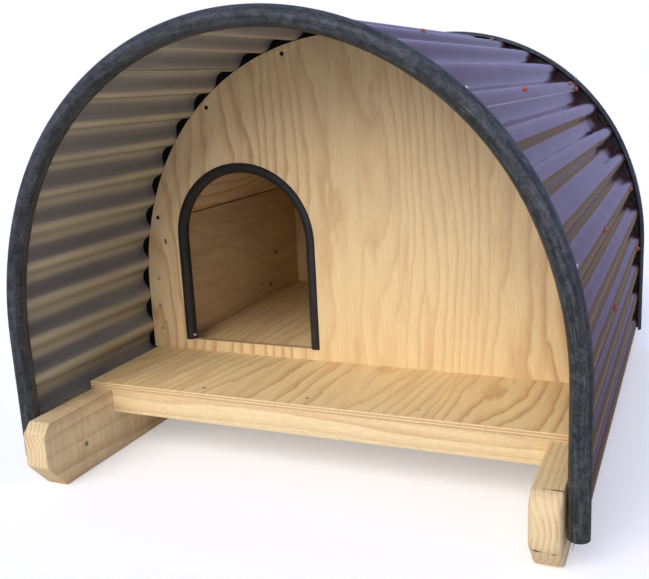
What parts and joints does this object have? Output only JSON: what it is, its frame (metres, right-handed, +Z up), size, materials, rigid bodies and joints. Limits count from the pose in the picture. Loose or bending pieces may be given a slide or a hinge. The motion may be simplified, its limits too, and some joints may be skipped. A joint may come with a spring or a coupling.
{
  "type": "dog house",
  "caption": "Dog house on timber skids with a lined plywood cabin, an arched doorway, a covered porch and a barrel roof of lapped corrugated steel",
  "frame": {"origin": "On the ground, midway between the two skids and midway along them", "axes": "+X to the right, seen from in front of the doorway; +Y from the porch at the front to the back; +Z up"},
  "size_m": [1.0876, 1.239, 0.8748],
  "materials": {
    "skid_timber": "rough-sawn treated pine, weathered",
    "bearer_timber": "sawn pine, weathered",
    "frame_timber": "sawn pine",
    "floor_plywood": "untreated pine plywood, dusty",
    "panel_plywood": "untreated pine plywood with an open grain",
    "lining_plywood": "untreated pine plywood",
    "roof_steel": "gloss dark red paint outside, pale backing coat inside",
    "edge_pipe_plastic": "black polyethylene, scuffed",
    "door_pipe_plastic": "black polyethylene, smooth"
  },
  "bodies": {
    "root": {"back_bearer": "bearer_timber", "back_edge_pipe": "edge_pipe_plastic", "back_panel": "panel_plywood", "batten_lower_left": "frame_timber", "batten_lower_right": "frame_timber", "batten_middle_left": "frame_timber", "batten_middle_right": "frame_timber", "batten_upper_left": "frame_timber", "batten_upper_right": "frame_timber", "ceiling_lining": "lining_plywood", "corner_post_back_left": "frame_timber", "corner_post_back_right": "frame_timber", "corner_post_front_left": "frame_timber", "corner_post_front_right": "frame_timber", "deck": "floor_plywood", "door_edge_pipe": "door_pipe_plastic", "front_bearer": "bearer_timber", "front_edge_pipe": "edge_pipe_plastic", "front_panel": "panel_plywood", "inner_floor": "floor_plywood", "middle_bearer": "bearer_timber", "panel_bearer": "bearer_timber", "roof_sheet_left": "roof_steel", "roof_sheet_right": "roof_steel", "roof_sheet_top": "roof_steel", "shoulder_lining_left": "lining_plywood", "shoulder_lining_right": "lining_plywood", "skid_left": "skid_timber", "skid_right": "skid_timber", "wall_lining_left": "lining_plywood", "wall_lining_right": "lining_plywood"}
  },
  "joints": []
}
